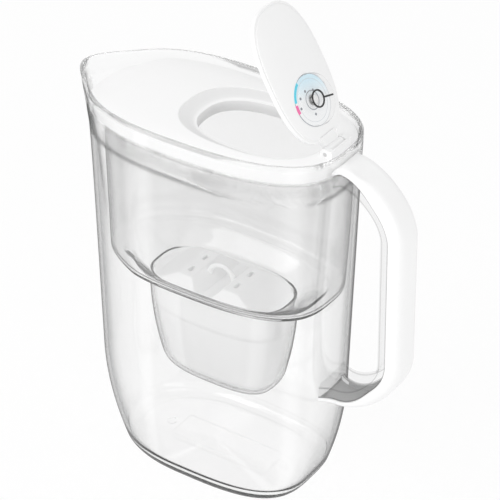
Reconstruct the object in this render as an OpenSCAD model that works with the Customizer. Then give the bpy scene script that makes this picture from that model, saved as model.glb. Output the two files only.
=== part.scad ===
// Water filter pitcher: a clear jug with a clear handle core under a white grip, a clear hopper
// with a cartridge cup, a white filter cartridge, and a white lid with a hinged fill flap that
// carries a change reminder dial. Millimetres, +Z up, +X towards the handle, -X towards the spout.
// The origin is on the flat underside of the jug, in its plane of symmetry.

/* [Jug] */
// Height of the jug's rim over the table
jug_h = 280; // [260:5:300]
// Half of the jug's outside width at the rim
jug_half_w = 54; // [50:1:58]
// Reach of the body in front of the origin, at the rim and without the spout
front_reach = 87.4; // [82:0.2:92]
// Reach of the body behind the origin, at the rim
rear_reach = 105.5; // [100:0.5:110]
// How far the spout's tip stands in front of the body at the rim
spout_reach = 17.5; // [14:0.5:18]
// Height over which the spout's ridge leans back to the body's middle; it meets the front long before
spout_drop = 180; // [150:5:210]
// Thickness of the clear jug wall
jug_wall = 2.5; // [2:0.1:3]

/* [Hopper] */
// Height of the hopper's lower edge over the table
hopper_z = 154.6; // [150:0.2:162]
// Thickness of the clear hopper wall
hopper_wall = 2; // [1.6:0.1:2.4]
// Height of the lowest point of the cartridge cup
cup_z = 61; // [55:1:66]
// Half of the cup's length at its mouth
cup_half_l = 53.8; // [52:0.2:55]
// Half of the cup's width at its mouth
cup_half_w = 29; // [28:0.5:30]

/* [Cartridge] */
// Height of the white cap's edge over the table
cap_z = 141; // [139:0.5:142]
// Height of the ridges over the cap's edge
ridge_h = 9; // [7:0.5:10]

/* [Lid] */
// Height of the lid's rim round the fill opening
lid_top_z = 276.5; // [276:0.1:277]
// How far the lid's front dips towards the spout
lid_dip = 7; // [4:0.5:7]
// How far the flap stands open at rest, from closed
flap_open = 60; // [0:5:90]

/* [Flap] */
// Half of the flap's length
flap_half_l = 47; // [45:0.5:47]
// Half of the flap's width
flap_half_w = 29.6; // [28:0.2:29.6]
// Radius of the dial's clear knob
dial_r = 17.2; // [14:0.2:17.4]
// Height of the clear knob
dial_h = 4.4; // [3.6:0.2:5]

/* [Handle] */
// Half of the grip's width
grip_half_w = 12.4; // [11:0.2:14]
// Distance from the bends' centres to the grip's back
grip_out_r = 46; // [44:0.5:47]
// Distance from the bends' centres to the seam between grip and clear core
grip_seam_r = 36; // [34:0.5:38]
// Distance from the bends' centres to the finger side of the core
core_in_r = 29.5; // [28:0.5:31]

/* [Hidden] */

// Points round a ring of the jug and of all that fits into it, and round the flap
ring_n = 60;
shell_n = 40;

// Jug shape: drafts are how much a half-length shrinks per millimetre downwards
front_draft = 0.0193;
rear_draft = 0.0492;
tuck_z = 74;
tuck_front = 16.3;
tuck_rear = 11.4;
tuck_side = 6.7;
foot_r = 6;
floor_z = 3;
floor_r = 9;
ledge_in = 3.9;
spout_slope = 37;
spout_round = 5.5;
spout_blend = 30;
spout_side = 44;
apex_in = 2;
apex_out = 11;

// Hopper
hop_top_z = 266;
hop_gap = 0.5;
hop_top_in = 4.4;
hop_mid_in = 4.9;
flange_t = 1.8;
pour_gap = 6.5;
hop_corner = 5;
hop_in = 6;
well_z = 147;
cup_mid_z = 140;
cup_x = 8.4;
cup_n = 2.8;
cup_round = 17;
cup_full_h = 84;
outlet_r = 5;

// Cartridge
cart_gap = 1.2;
cart_wall = 1.6;
band_z = 120.5;
band_gap = 0.4;
cap_t = 2;
ridge_x = [-11.3, 25.4];
ridge_half_l = 5.8;
ridge_half_w = 16.5;
slot_l = 6;
slot_w = 2.2;
slot_y = 8;
slot_depth = 4;
loop_r = 9.7;
loop_wire_r = 1.6;
loop_x = 7.5;
loop_z = 145;
media_fill_z = 131;
nozzle_r = 3.2;

// Lid and its fill opening
lid_gap = 2;
lid_t = 2;
skirt_t = 2;
skirt_z = 266.3;
skirt_lean = 1.2;
edge_r = 0.4;
dip_start = 58;
dip_run = 38;
lid_nose = 4.5;
seat_z = 272.3;
collar_z = 264.5;
mouth_x = 35;
mouth_half_l = 53.5;
mouth_half_w = 36.7;
mouth_n = 2.5;
seat_x = 40.4;
seat_gap = 0.7;
hole_in = 1.5;
clip_x = [-10, 28];
clip_y = 45.2;
clip_l = 8;
clip_t = 1.2;
clip_low_z = 259;
hinge_x = 94;
hinge_z = 278;
pin_r = 1.5;
pin_l = 23;
pin_fit = 0.06;
lug_r = 3.8;
lug_in = 7.9;
lug_out = 11.6;
bridge_x = 97.8;
bridge_end_x = 99.2;
pocket_floor_z = 274;

// Flap, described closed; it is turned about the hinge to its place at rest
flap_x = 40.4;
flap_n = 2.6;
flap_low_z = 272.7;
flap_rim_z = 275.6;
flap_crown_z = 278.4;
flap_in_z = 275.6;
flap_rim_t = 2;
liner_z = 273.2;
liner_t = 1.4;
knuckle_r = 3.5;
knuckle_half_l = 7.5;
arm_end_x = 83;

// Dial
dial_x = 60.4;
dial_seat_z = 277.2;
scale_t = 0.5;
spindle_r = 1.5;
spindle_fit = 0.06;
pointer_ring_r = 6;
pointer_l = 15.5;
pointer_t = 0.5;

// Handle path: two bend centres, behind the jug
bend_top = [106.5, 226];
bend_low = [107.5, 130];
bend_n = 1.75;
root_flare = 4.6;
seam_rise = 5.6;
seam_turn = 50;
root_overlap = 1.2;
grip_wall = 2.2;
core_fit = 0.1;

// ---- shape functions ----

function mix(a, b, t) = a + (b - a) * t;
function ease(t) = let (c = min(max(t, 0), 1)) c * c * (3 - 2 * c);

// Angle of point i of n round a ring, with the points closer together at both ends, most at the front.
// Rings that fit into each other have the same angles, so their facets run side by side.
function turn(i, n) = 360 * i / n + 14 * sin(360 * i / n) - 6 * sin(720 * i / n);

// Polar radius of an oval with its own half-length and fullness in front and behind
function oval_r(a, lf, lr, w, nf, nr) =
    let (l = cos(a) < 0 ? lf : lr, n = cos(a) < 0 ? nf : nr)
    pow(pow(abs(cos(a)) / l, n) + pow(abs(sin(a)) / w, n), -1 / n);

// How strongly the body tucks in towards its foot, from 0 to 1
function tuck(z) = pow(max(0, (tuck_z - z) / tuck_z), 2);

// How far the body reaches forward at height z
function front_x(z) = front_reach - front_draft * (jug_h - z) - tuck_front * tuck(z);

// How much direction a is the front's: 1 ahead, 0 at the sides and behind
function ahead(a) = ease((-cos(a) - 0.55) / 0.35);

// Polar radius of the body without the spout, inset by g
function body_r(a, z, g) = oval_r(a,
    front_x(z) - g,
    rear_reach - rear_draft * (jug_h - z) - tuck_rear * tuck(z) - g,
    jug_half_w - tuck_side * tuck(z) - g,
    mix(2.2, 2.48, z / jug_h), mix(3.3, 2.72, z / jug_h));

// How far the spout's ridge stands out at height z, from 0 to 1 at the rim
function spout_out(z) = max(0, 1 - (jug_h - z) / spout_drop);

// Polar radius of the spout's wedge: two flanks that meet in a rounded nose
function nose_r(a, z, g) =
    let (apex = front_x(z) + apex_in + (spout_reach + apex_out) * spout_out(z),
        d = apex * sin(spout_slope) - g,
        s1 = sin(a) * cos(spout_slope) - cos(a) * sin(spout_slope),
        s2 = -sin(a) * cos(spout_slope) - cos(a) * sin(spout_slope),
        p = spout_round)
    d / pow(pow(max(s1, 0), p) + pow(max(s2, 0), p)
        + pow(abs(sin(a)) * d / (spout_side - g), p) + pow(max(cos(a), 0) * d / spout_side, p), 1 / p);

// Polar radius of the jug with its spout
function jug_r(a, z, g) = let (q = spout_blend)
    pow(pow(body_r(a, z, g), q) + pow(nose_r(a, z, g), q), 1 / q);

// Ring of the jug with its spout, inset by g at the sides and behind, and by gf in front
function jug_ring(z, g, gf) =
    [for (i = [0:ring_n - 1]) let (a = turn(i, ring_n), r = jug_r(a, z, mix(g, gf, ahead(a))))
        [r * cos(a), r * sin(a), z]];

function even_ring(z, g) = jug_ring(z, g, g);

// Ring of the body alone, inset by g at the sides and behind, and by gf in front
function body_ring(z, g, gf) =
    [for (i = [0:ring_n - 1]) let (a = turn(i, ring_n), r = body_r(a, z, mix(g, gf, ahead(a))))
        [r * cos(a), r * sin(a), z]];

// Ring of an oval whose fullness is e
function oval_ring(z, x, l, w, e, n) =
    [for (i = [0:n - 1]) let (a = turn(i, n), r = oval_r(a, l, l, w, e, e))
        [x + r * cos(a), r * sin(a), z]];

// The cup is a deep boat shape: its half-length and half-width at height h over its lowest point
function cup_q(h, g) = let (r = cup_round - g) r - sqrt(pow(r, 2) - pow(max(r - h, 0), 2));
function cup_l(h, g) = let (t = h / (cup_mid_z - cup_z))
    cup_half_l - 12.8 + 24.8 * t - 12 * t * t - cup_q(h, g) - g;
function cup_w(h, g) = let (t = h / (cup_mid_z - cup_z))
    cup_half_w - 9 + 21.4 * t - 12.4 * t * t - cup_q(h, g) - g;

// Ring of the cup at height z, inset by g, of a boat shape whose lowest point is at height low
function cup_ring(z, g, n, low) = let (h = min(z - low, cup_full_h))
    oval_ring(z, cup_x, cup_l(h, g), cup_w(h, g), cup_n, n);

// ---- shared modules ----

// A closed solid through rings of equal count; the first and the last ring are capped
module loft(rings) {
    n = len(rings[0]);
    m = len(rings);
    points = [for (r = rings) each r];
    sides = [for (j = [0:m - 2], i = [0:n - 1]) let (k = (i + 1) % n)
        each [[j * n + i, (j + 1) * n + i, (j + 1) * n + k], [j * n + i, (j + 1) * n + k, j * n + k]]];
    caps = [[for (i = [0:n - 1]) i], [for (i = [n - 1:-1:0]) (m - 1) * n + i]];
    polyhedron(points, concat(sides, caps), convexity = 8);
}

// A closed band through rings of equal count, the last joined to the first
module band(rings) {
    n = len(rings[0]);
    m = len(rings);
    points = [for (r = rings) each r];
    sides = [for (j = [0:m - 1], i = [0:n - 1]) let (k = (i + 1) % n, l = (j + 1) % m)
        each [[j * n + i, l * n + i, l * n + k], [j * n + i, l * n + k, j * n + k]]];
    polyhedron(points, sides, convexity = 8);
}

// A block whose upper rectangle differs from its lower one; each is [x0, x1, y0, y1]
module wedge_block(low, high, z0, z1) {
    polyhedron([
        [low[0], low[2], z0], [low[1], low[2], z0], [low[1], low[3], z0], [low[0], low[3], z0],
        [high[0], high[2], z1], [high[1], high[2], z1], [high[1], high[3], z1], [high[0], high[3], z1]],
        [[0, 1, 2, 3], [7, 6, 5, 4], [1, 0, 4, 5], [2, 1, 5, 6], [3, 2, 6, 7], [0, 3, 7, 4]]);
}

// Turns what is described with the flap closed to the flap's place at rest
module on_flap() {
    translate([hinge_x, 0, hinge_z]) rotate([0, flap_open, 0]) translate([-hinge_x, 0, -hinge_z])
        children();
}

// A rod along Y through the hinge axis
module hinge_rod(r, half_l) {
    translate([hinge_x, 0, hinge_z]) rotate([90, 0, 0])
        cylinder(r = r, h = 2 * half_l, center = true, $fn = 48);
}

// ---- jug ----

module jug_body() {
    foot = [for (t = [90:-30:0]) even_ring(foot_r * (1 - sin(t)), foot_r * (1 - cos(t)))];
    inside_foot = [for (t = [0:30:90])
        even_ring(floor_z + floor_r * (1 - sin(t)), jug_wall + floor_r * (1 - cos(t)))];
    levels = [16, 30, 45, 60, tuck_z, 110, 135, 150, 165, 185, 210, 235];
    ledge_z = hop_top_z - flange_t - 0.25;
    color([0.86, 0.89, 0.91, 0.35]) loft(concat(
        foot,
        [for (z = levels) even_ring(z, 0)],
        [even_ring(256, 0), even_ring(jug_h - 0.8, 0)],
        [even_ring(jug_h, 0.8), even_ring(jug_h, jug_wall - 0.6)],
        [even_ring(jug_h - 0.6, jug_wall), even_ring(ledge_z + 0.3, jug_wall)],
        [jug_ring(ledge_z, ledge_in, jug_wall), jug_ring(ledge_z - 4, ledge_in, jug_wall)],
        [even_ring(ledge_z - 12, jug_wall)],
        [for (i = [len(levels) - 1:-1:0]) even_ring(levels[i], jug_wall)],
        inside_foot));
}

// ---- handle ----

// Where the jug's rear wall is, at height z and off-centre by y
function wall_x(y, z) = let (l = rear_reach - rear_draft * (jug_h - z), n = mix(3.3, 2.72, z / jug_h))
    l * pow(1 - pow(min(abs(y), 50) / jug_half_w, n), 1 / n);

// Flattening of a bend: 1 at its ends, less at its middle
function bend_k(t) = pow(pow(abs(sin(t)), bend_n) + pow(abs(cos(t)), bend_n), -1 / bend_n);

// How far the seam between core and grip has risen, from 0 where t is in the middle of the handle
// to 1 at the arms, t being the angle of the bend from its arm
function risen(t) = ease(1 - t / seam_turn);

// Stations along the handle: [centre x, centre z, direction x, direction z, share of the way to the
// wall, how far the seam has risen]
arm_steps = [1, 0.8, 0.55, 0.25];
handle_stations = concat(
    [for (s = arm_steps) [bend_top[0], bend_top[1], 0, 1, s, 1]],
    [for (t = [0:15:90])
        [bend_top[0], bend_top[1], sin(t) * bend_k(t), cos(t) * bend_k(t), 0, risen(t)]],
    [for (t = [90:15:180])
        [bend_low[0], bend_low[1], sin(t) * bend_k(t), cos(t) * bend_k(t), 0, risen(180 - t)]],
    [for (i = [len(arm_steps) - 1:-1:0]) [bend_low[0], bend_low[1], 0, -1, arm_steps[i], 1]]);

// A point of the handle at station s, d out from the bend's centre and y off-centre.
// The arms spread towards the jug and follow its curved wall.
function handle_point(s, d, y) =
    let (w = y * (1 + root_flare / grip_half_w * pow(s[4], 2)),
        z = s[1] + d * s[3],
        x = s[0] + d * s[2])
    [s[4] > 0 ? mix(x, wall_x(w, z) - root_overlap, s[4]) : x, w, z];

// Carries a section along the handle. Its points are [distance out, offset y, 1 if on the seam].
function handle_rings(section) = [for (s = handle_stations)
    [for (p = section) handle_point(s, p[0] + p[2] * seam_rise * s[5], p[1])]];

// Clear core: a band on the finger side, with a tongue that stands into the grip
module handle_core() {
    b = grip_half_w - 0.6;
    c = grip_half_w - grip_wall - core_fit;
    tip = grip_out_r - grip_wall - 1.5;
    seam = grip_seam_r - core_fit;
    section = [[core_in_r + 2, -b, 0], [seam, -b, 1], [seam, -c, 1], [tip, -c, 0],
        [tip, c, 0], [seam, c, 1], [seam, b, 1], [core_in_r + 2, b, 0],
        [core_in_r, b - 3, 0], [core_in_r, 3 - b, 0]];
    color([0.84, 0.87, 0.9, 0.4]) loft(handle_rings(section));
}

// White grip: a rounded channel that wraps the back and sides of the core
module handle_grip() {
    w = grip_half_w;
    c = w - grip_wall;
    r = grip_out_r;
    tip = r - grip_wall - 1.2;
    section = [[grip_seam_r, -c, 1], [grip_seam_r, -w, 1], [r - 4, -w, 0], [r - 2, -w * 0.94, 0],
        [r - 0.8, -w * 0.74, 0], [r, -w * 0.35, 0], [r, w * 0.35, 0], [r - 0.8, w * 0.74, 0],
        [r - 2, w * 0.94, 0], [r - 4, w, 0], [grip_seam_r, w, 1], [grip_seam_r, c, 1],
        [tip, c, 0], [tip, -c, 0]];
    color([0.96, 0.96, 0.96]) loft(handle_rings(section));
}

// ---- hopper ----

// Clear hopper: a flange that rests on the jug's ledge, a wall that stands back from the spout,
// a floor that falls to the cup, and the deep cup with a round outlet at its lowest point
module hopper() {
    n = ring_n;
    w = hopper_wall;
    back = pour_gap + jug_wall;
    cup_steps = [0, 0.7, 3, 8, 17, 34, 55, 72];
    color([0.85, 0.88, 0.92, 0.3]) difference() {
        loft(concat(
            [for (h = cup_steps) cup_ring(cup_z + h, 0, n, cup_z)],
            [cup_ring(well_z - w - 1, -0.4, n, cup_z)],
            [body_ring(hopper_z + 0.4, hop_in + hop_corner + 3, back + hop_corner + 3)],
            [body_ring(hopper_z + 1.6, hop_in + 1.6, back + 1.6)],
            [body_ring(hopper_z + hop_corner, hop_in, back)],
            [body_ring(200, hop_mid_in, back), body_ring(hop_top_z - flange_t, hop_top_in, back)],
            [body_ring(hop_top_z - flange_t, jug_wall + hop_gap, back)],
            [body_ring(hop_top_z, jug_wall + hop_gap, back)],
            [body_ring(hop_top_z, hop_top_in + w, back + w), body_ring(200, hop_mid_in + w, back + w)],
            [body_ring(hopper_z + hop_corner + w, hop_in + w, back + w)],
            [body_ring(hopper_z + w + 1.4, hop_in + w + 2, back + w + 2)],
            [body_ring(hopper_z + w + 0.2, hop_in + hop_corner + 4, back + hop_corner + 4)],
            [cup_ring(well_z, -0.4 + w, n, cup_z)],
            [for (i = [len(cup_steps) - 1:-1:0]) cup_ring(cup_z + w + cup_steps[i], w, n, cup_z + w)]));
        translate([cup_x, 0, cup_z - 5]) cylinder(r = outlet_r, h = 12, $fn = 48);
    }
}

// Soft ring in the cup's outlet that seals the cartridge's nozzle
module outlet_grommet() {
    color([0.8, 0.82, 0.84]) translate([cup_x, 0, 0]) rotate_extrude($fn = 64)
        polygon([[nozzle_r + 0.3, cup_z - 1.2], [outlet_r + 1.6, cup_z - 1.2],
            [outlet_r + 1.6, cup_z - 0.05], [outlet_r - 0.05, cup_z - 0.05],
            [outlet_r - 0.05, cup_z + 3], [nozzle_r + 0.3, cup_z + 3]]);
}

// ---- cartridge ----

cart_z = cup_z + hopper_wall + cart_gap;
cart_in = hopper_wall + cart_gap + 0.2;
band_in = hopper_wall + band_gap;

// White shell: a tapered boat-shaped body under a straight band
module cartridge_body() {
    n = ring_n;
    w = cart_wall;
    steps = [0, 0.7, 3, 8, 17, 34];
    color([0.93, 0.93, 0.93]) difference() {
        loft(concat(
            [for (h = steps) cup_ring(cart_z + h, cart_in, n, cart_z)],
            [cup_ring(band_z - 1, cart_in, n, cup_z), cup_ring(band_z, band_in, n, cup_z)],
            [cup_ring(cap_z - cap_t, band_in, n, cup_z), cup_ring(cap_z - cap_t, band_in + w, n, cup_z)],
            [cup_ring(band_z, cart_in + w, n, cup_z)],
            [for (i = [len(steps) - 1:-1:0]) cup_ring(cart_z + w + steps[i], cart_in + w, n, cart_z + w)]));
        translate([cup_x, 0, cart_z - 2]) cylinder(r = nozzle_r - 0.8, h = 8, $fn = 32);
    }
}

// White cap: two sloped ridges with a pair of inlet slots along each
module cartridge_cap() {
    cap_ring = cup_ring(0, band_in, ring_n, -cup_full_h);
    color([0.97, 0.97, 0.97]) difference() {
        intersection() {
            translate([0, 0, cap_z - cap_t + 0.05]) linear_extrude(cap_t + ridge_h + 5)
                polygon([for (p = cap_ring) [p[0], p[1]]]);
            union() {
                translate([cup_x - 60, -40, cap_z - cap_t]) cube([120, 80, cap_t]);
                cap_ridge(ridge_x[0], -37, 5);
                cap_ridge(ridge_x[1], 12, 54);
            }
        }
        for (x = ridge_x, y = [-slot_y, slot_y])
            translate([x - slot_w / 2, y - slot_l / 2, cap_z + ridge_h - slot_depth])
                cube([slot_w, slot_l, slot_depth + 1]);
    }
}

// One ridge, whose foot runs from x0 to x1
module cap_ridge(x, x0, x1) {
    wedge_block([x0, x1, -27, 27], [x - ridge_half_l, x + ridge_half_l, -ridge_half_w, ridge_half_w],
        cap_z - 0.5, cap_z + ridge_h);
}

// Arched loop between the ridges, to pull the cartridge out by
module cartridge_loop() {
    color([0.98, 0.98, 0.98]) translate([loop_x, 0, loop_z]) rotate([90, 0, 0])
        rotate_extrude(angle = 180, $fn = 64) translate([loop_r, 0]) circle(r = loop_wire_r, $fn = 24);
}

// Fine screen plate under the cap
module cartridge_screen() {
    ring = cup_ring(0, band_in + cart_wall + 0.6, ring_n, -70);
    color([0.88, 0.88, 0.88]) translate([0, 0, media_fill_z + 0.5]) linear_extrude(1.2)
        polygon([for (p = ring) [p[0], p[1]]]);
}

// Carbon and resin fill, as one solid inside the shell
module cartridge_media() {
    low = cart_z + cart_wall + 1;
    color([0.35, 0.35, 0.36]) loft([for (h = [3, 8, 17, 34, media_fill_z - low])
        cup_ring(low + h, cart_in + cart_wall + 0.6, ring_n / 2, low)]);
}

// Fleece disc that keeps the grains out of the nozzle
module cartridge_outlet_mesh() {
    color([0.9, 0.9, 0.88]) translate([cup_x, 0, cart_z + 3.2]) cylinder(r = 4, h = 0.8, $fn = 48);
}

// Outlet nozzle under the cartridge, which enters the grommet
module cartridge_nozzle() {
    color([0.95, 0.95, 0.95]) translate([cup_x, 0, 0]) rotate_extrude($fn = 48)
        polygon([[nozzle_r - 0.8, cart_z + 0.05], [nozzle_r - 0.8, cup_z + 0.4], [nozzle_r, cup_z + 0.4],
            [nozzle_r, cart_z - 0.05], [nozzle_r - 0.2, cart_z + 0.05]]);
}

// ---- lid ----

// How far the lid dips at x, towards the spout
function dip(x) = lid_dip * ease((-dip_start - x) / dip_run);
function lowered(ring) = [for (p = ring) [p[0], p[1], p[2] - dip(p[0])]];

// Edge ring of the lid, inset by g from the jug's outside, for a plate at height z that dips in front.
// It follows the jug's inside at its own height, with more room at the spout's tip to pour through.
function lid_edge(z, g, most) = [for (i = [0:ring_n - 1])
    let (a = turn(i, ring_n), h = min(z - dip(body_r(a, z, g) * cos(a)), most),
        r = min(jug_r(a, h, g), body_r(a, h, g) + lid_nose), x = r * cos(a))
    [x, r * sin(a), min(z - dip(x), most)]];

function plate_edge(z, g) = lid_edge(z, g, jug_h);

// Lower edge of the skirt, which stays under the plate where the plate dips
function skirt_edge(g) = lid_edge(lid_top_z - lid_t - 2.4, g, skirt_z);

function mouth_ring(z, x, l, w) = oval_ring(z, x, l, w, mouth_n, ring_n);
function halfway(a, b, z) = [for (i = [0:len(a) - 1])
    [(a[i][0] + b[i][0]) / 2, (a[i][1] + b[i][1]) / 2, z]];

// White lid plate with a skirt, a sloped recess round the fill opening and a collar below it
module lid_plate() {
    g = jug_wall + lid_gap;
    z = lid_top_z;
    sl = flap_half_l + seat_gap;
    sw = flap_half_w + seat_gap;
    edge = plate_edge(z, g);
    mouth = mouth_ring(0, mouth_x, mouth_half_l, mouth_half_w);
    color([0.98, 0.98, 0.98]) difference() {
        band([
            skirt_edge(g + skirt_lean),
            plate_edge(z - 2.6, g),
            plate_edge(z - 1.8, g + edge_r),
            lowered(halfway(edge, mouth, z - 0.8)),
            mouth_ring(z, mouth_x, mouth_half_l, mouth_half_w),
            mouth_ring(seat_z + 0.4, seat_x, sl + 0.3, sw + 0.3),
            mouth_ring(seat_z, seat_x, sl - hole_in, sw - hole_in),
            mouth_ring(collar_z, seat_x, sl - hole_in - 0.6, sw - hole_in - 0.6),
            mouth_ring(collar_z, seat_x, sl - hole_in + 1, sw - hole_in + 1),
            mouth_ring(seat_z - lid_t, seat_x, sl - hole_in + 1.6, sw - hole_in + 1.6),
            mouth_ring(seat_z - lid_t + 0.2, seat_x, sl + 1.6, sw + 1.8),
            mouth_ring(z - lid_t - 0.4, mouth_x, mouth_half_l + 1.8, mouth_half_w + 1.8),
            lowered(halfway(edge, mouth, z - lid_t - 1)),
            plate_edge(z - lid_t - 2, g + skirt_t + 0.4),
            skirt_edge(g + skirt_lean + skirt_t)]);
        translate([arm_end_x - 1, -lug_out - 0.4, pocket_floor_z])
            cube([bridge_end_x - arm_end_x + 1.3, 2 * lug_out + 0.8, 20]);
    }
    color([0.98, 0.98, 0.98]) translate([mouth_x + mouth_half_l, -lug_out - 2, pocket_floor_z - 1.8])
        cube([bridge_end_x - 0.4 - mouth_x - mouth_half_l, 2 * lug_out + 4, 1.8]);
}

// Snap clips under the lid that grip the inside of the hopper's wall
module lid_clips() {
    color([0.93, 0.93, 0.93]) for (s = [-1, 1], x = clip_x)
        translate([x - clip_l / 2, s * clip_y - clip_t / 2, clip_low_z])
            cube([clip_l, clip_t, lid_top_z - lid_t - 0.9 - clip_low_z]);
}

// Raised tongue at the rear with two lugs that hold the hinge pin
module hinge_bracket() {
    z0 = pocket_floor_z;
    color([0.97, 0.97, 0.97]) difference() {
        union() {
            for (y = [-lug_out, lug_in]) {
                translate([hinge_x, y, hinge_z]) rotate([-90, 0, 0])
                    cylinder(r = lug_r, h = lug_out - lug_in, $fn = 48);
                translate([hinge_x - lug_r, y, z0])
                    cube([bridge_end_x - hinge_x + lug_r, lug_out - lug_in, hinge_z - z0]);
            }
            translate([bridge_x, -lug_out, z0])
                cube([bridge_end_x - bridge_x, 2 * lug_out, hinge_z + 3.4 - z0]);
            translate([hinge_x, -lug_out, z0])
                cube([bridge_end_x - hinge_x, lug_out - lug_in, hinge_z + 3.4 - z0]);
            translate([hinge_x, lug_in, z0])
                cube([bridge_end_x - hinge_x, lug_out - lug_in, hinge_z + 3.4 - z0]);
        }
        hinge_rod(pin_r, lug_out + 1);
    }
}

module hinge_pin() {
    color([0.75, 0.76, 0.78]) hinge_rod(pin_r, pin_l / 2);
}

// ---- flap ----

function flap_ring(z, g) = oval_ring(z, flap_x, flap_half_l - g, flap_half_w - g, flap_n, shell_n);

// Crowned outer shell with a rolled rim and a round seat for the dial
module flap_shell() {
    color([0.98, 0.98, 0.98]) on_flap() difference() {
        loft([
            flap_ring(flap_in_z, flap_rim_t),
            flap_ring(flap_low_z, flap_rim_t),
            flap_ring(flap_low_z, 0.6),
            flap_ring(flap_low_z + 0.7, 0),
            flap_ring(flap_rim_z, 0),
            flap_ring(flap_rim_z + 1, 0.8),
            flap_ring(flap_rim_z + 1.9, 3.5),
            flap_ring(flap_crown_z - 0.3, 9),
            flap_ring(flap_crown_z, 15)]);
        translate([dial_x, 0, dial_seat_z]) cylinder(r = dial_r + 0.4, h = 5, $fn = 72);
        translate([dial_x, 0, flap_in_z - 3]) cylinder(r = spindle_r, h = 8, $fn = 32);
    }
}

// Inner cover of the flap
module flap_liner() {
    ring = flap_ring(0, flap_rim_t + 0.1);
    color([0.95, 0.95, 0.95]) on_flap() translate([0, 0, liner_z]) linear_extrude(liner_t)
        polygon([for (p = ring) [p[0], p[1]]]);
}

// Hinge knuckle whose arm is fixed inside the flap's rear end
module flap_knuckle() {
    color([0.96, 0.96, 0.96]) on_flap() difference() {
        union() {
            hinge_rod(knuckle_r, knuckle_half_l);
            translate([arm_end_x + 1, -knuckle_half_l, hinge_z - knuckle_r])
                cube([hinge_x - arm_end_x - 1, 2 * knuckle_half_l, 3.4]);
        }
        hinge_rod(pin_r + pin_fit, knuckle_half_l + 1);
    }
}

// Two small screws that hold the liner to the shell
module flap_screws() {
    color([0.7, 0.71, 0.73]) on_flap() for (x = [flap_x - 34, flap_x + 2]) translate([x, 0, 0]) {
        translate([0, 0, liner_z + 0.2]) cylinder(r = 0.9, h = flap_in_z + 1 - liner_z, $fn = 24);
        translate([0, 0, liner_z - 0.3]) cylinder(r = 1.9, h = 0.9, $fn = 32);
    }
}

// ---- dial ----

// Printed scale disc in the seat
module dial_scale() {
    color([0.9, 0.93, 0.97]) on_flap() translate([dial_x, 0, dial_seat_z + 0.02]) difference() {
        cylinder(r = dial_r - 0.1, h = scale_t, $fn = 72);
        translate([0, 0, -1]) cylinder(r = spindle_r + 0.05, h = 3, $fn = 32);
    }
}

// Spindle that rivets the knob to the flap
module dial_spindle() {
    low = flap_in_z - 0.6;
    head = dial_seat_z + 2.2;
    color([0.8, 0.81, 0.83]) on_flap() translate([dial_x, 0, 0]) rotate_extrude($fn = 48)
        polygon([[0, low], [2.6, low], [2.6, flap_in_z - 0.02], [spindle_r, flap_in_z - 0.02],
            [spindle_r, head], [2.8, head], [2.8, head + 0.8], [0, head + 0.8]]);
}

// Spring washer between the scale and the knob
module dial_washer() {
    color([0.7, 0.71, 0.73]) on_flap() translate([dial_x, 0, dial_seat_z + scale_t + 0.04]) difference() {
        cylinder(r = 3.6, h = 0.25, $fn = 48);
        translate([0, 0, -1]) cylinder(r = spindle_r + 0.05, h = 3, $fn = 32);
    }
}

// Clear knob that turns on the spindle
module dial_knob() {
    z0 = dial_seat_z + scale_t + 0.35;
    z1 = z0 + dial_h;
    head = dial_seat_z + 2.2;
    color([0.9, 0.93, 0.95, 0.35]) on_flap() translate([dial_x, 0, 0]) rotate_extrude($fn = 72)
        polygon([[spindle_r + spindle_fit, z0], [dial_r - 0.3, z0], [dial_r, z0 + 0.4],
            [dial_r - 0.3, z1 - 1], [dial_r - 1, z1], [0, z1], [0, head + 1.1], [3.2, head + 1.1],
            [3.2, head - 0.3], [spindle_r + spindle_fit, head - 0.3]]);
}

// Printed ring and pointer on top of the knob
module dial_pointer() {
    z1 = dial_seat_z + scale_t + 0.35 + dial_h + 0.01;
    color([0.1, 0.1, 0.11]) on_flap() translate([dial_x, 0, z1]) {
        difference() {
            cylinder(r = pointer_ring_r, h = pointer_t, $fn = 48);
            translate([0, 0, -1]) cylinder(r = pointer_ring_r - 1.1, h = 3, $fn = 48);
        }
        rotate([0, 0, 75]) translate([pointer_ring_r - 0.6, -0.6, 0])
            cube([pointer_l - pointer_ring_r, 1.2, pointer_t]);
    }
}

jug_body();
handle_core();
handle_grip();
hopper();
outlet_grommet();
cartridge_body();
cartridge_cap();
cartridge_loop();
cartridge_screen();
cartridge_media();
cartridge_outlet_mesh();
cartridge_nozzle();
lid_plate();
lid_clips();
hinge_bracket();
hinge_pin();
flap_shell();
flap_liner();
flap_knuckle();
flap_screws();
dial_scale();
dial_spindle();
dial_washer();
dial_knob();
dial_pointer();
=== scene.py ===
import math

import bpy
import mathutils
import numpy as np
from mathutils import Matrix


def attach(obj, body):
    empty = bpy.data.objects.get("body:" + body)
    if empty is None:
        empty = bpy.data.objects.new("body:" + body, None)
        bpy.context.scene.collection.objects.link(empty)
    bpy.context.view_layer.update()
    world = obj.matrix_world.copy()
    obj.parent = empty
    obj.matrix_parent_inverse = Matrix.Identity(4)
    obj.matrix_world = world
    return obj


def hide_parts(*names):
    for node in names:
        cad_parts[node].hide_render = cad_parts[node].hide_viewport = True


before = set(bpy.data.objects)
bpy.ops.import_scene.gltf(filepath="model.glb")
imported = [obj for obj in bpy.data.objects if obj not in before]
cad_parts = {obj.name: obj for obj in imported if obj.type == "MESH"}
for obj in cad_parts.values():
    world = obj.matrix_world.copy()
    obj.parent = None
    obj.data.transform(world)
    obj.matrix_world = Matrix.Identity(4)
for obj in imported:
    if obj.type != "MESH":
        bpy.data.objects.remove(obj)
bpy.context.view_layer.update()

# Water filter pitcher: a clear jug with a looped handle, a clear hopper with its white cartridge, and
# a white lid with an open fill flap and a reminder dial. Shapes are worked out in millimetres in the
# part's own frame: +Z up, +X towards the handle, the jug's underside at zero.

MM = 0.001

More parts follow.
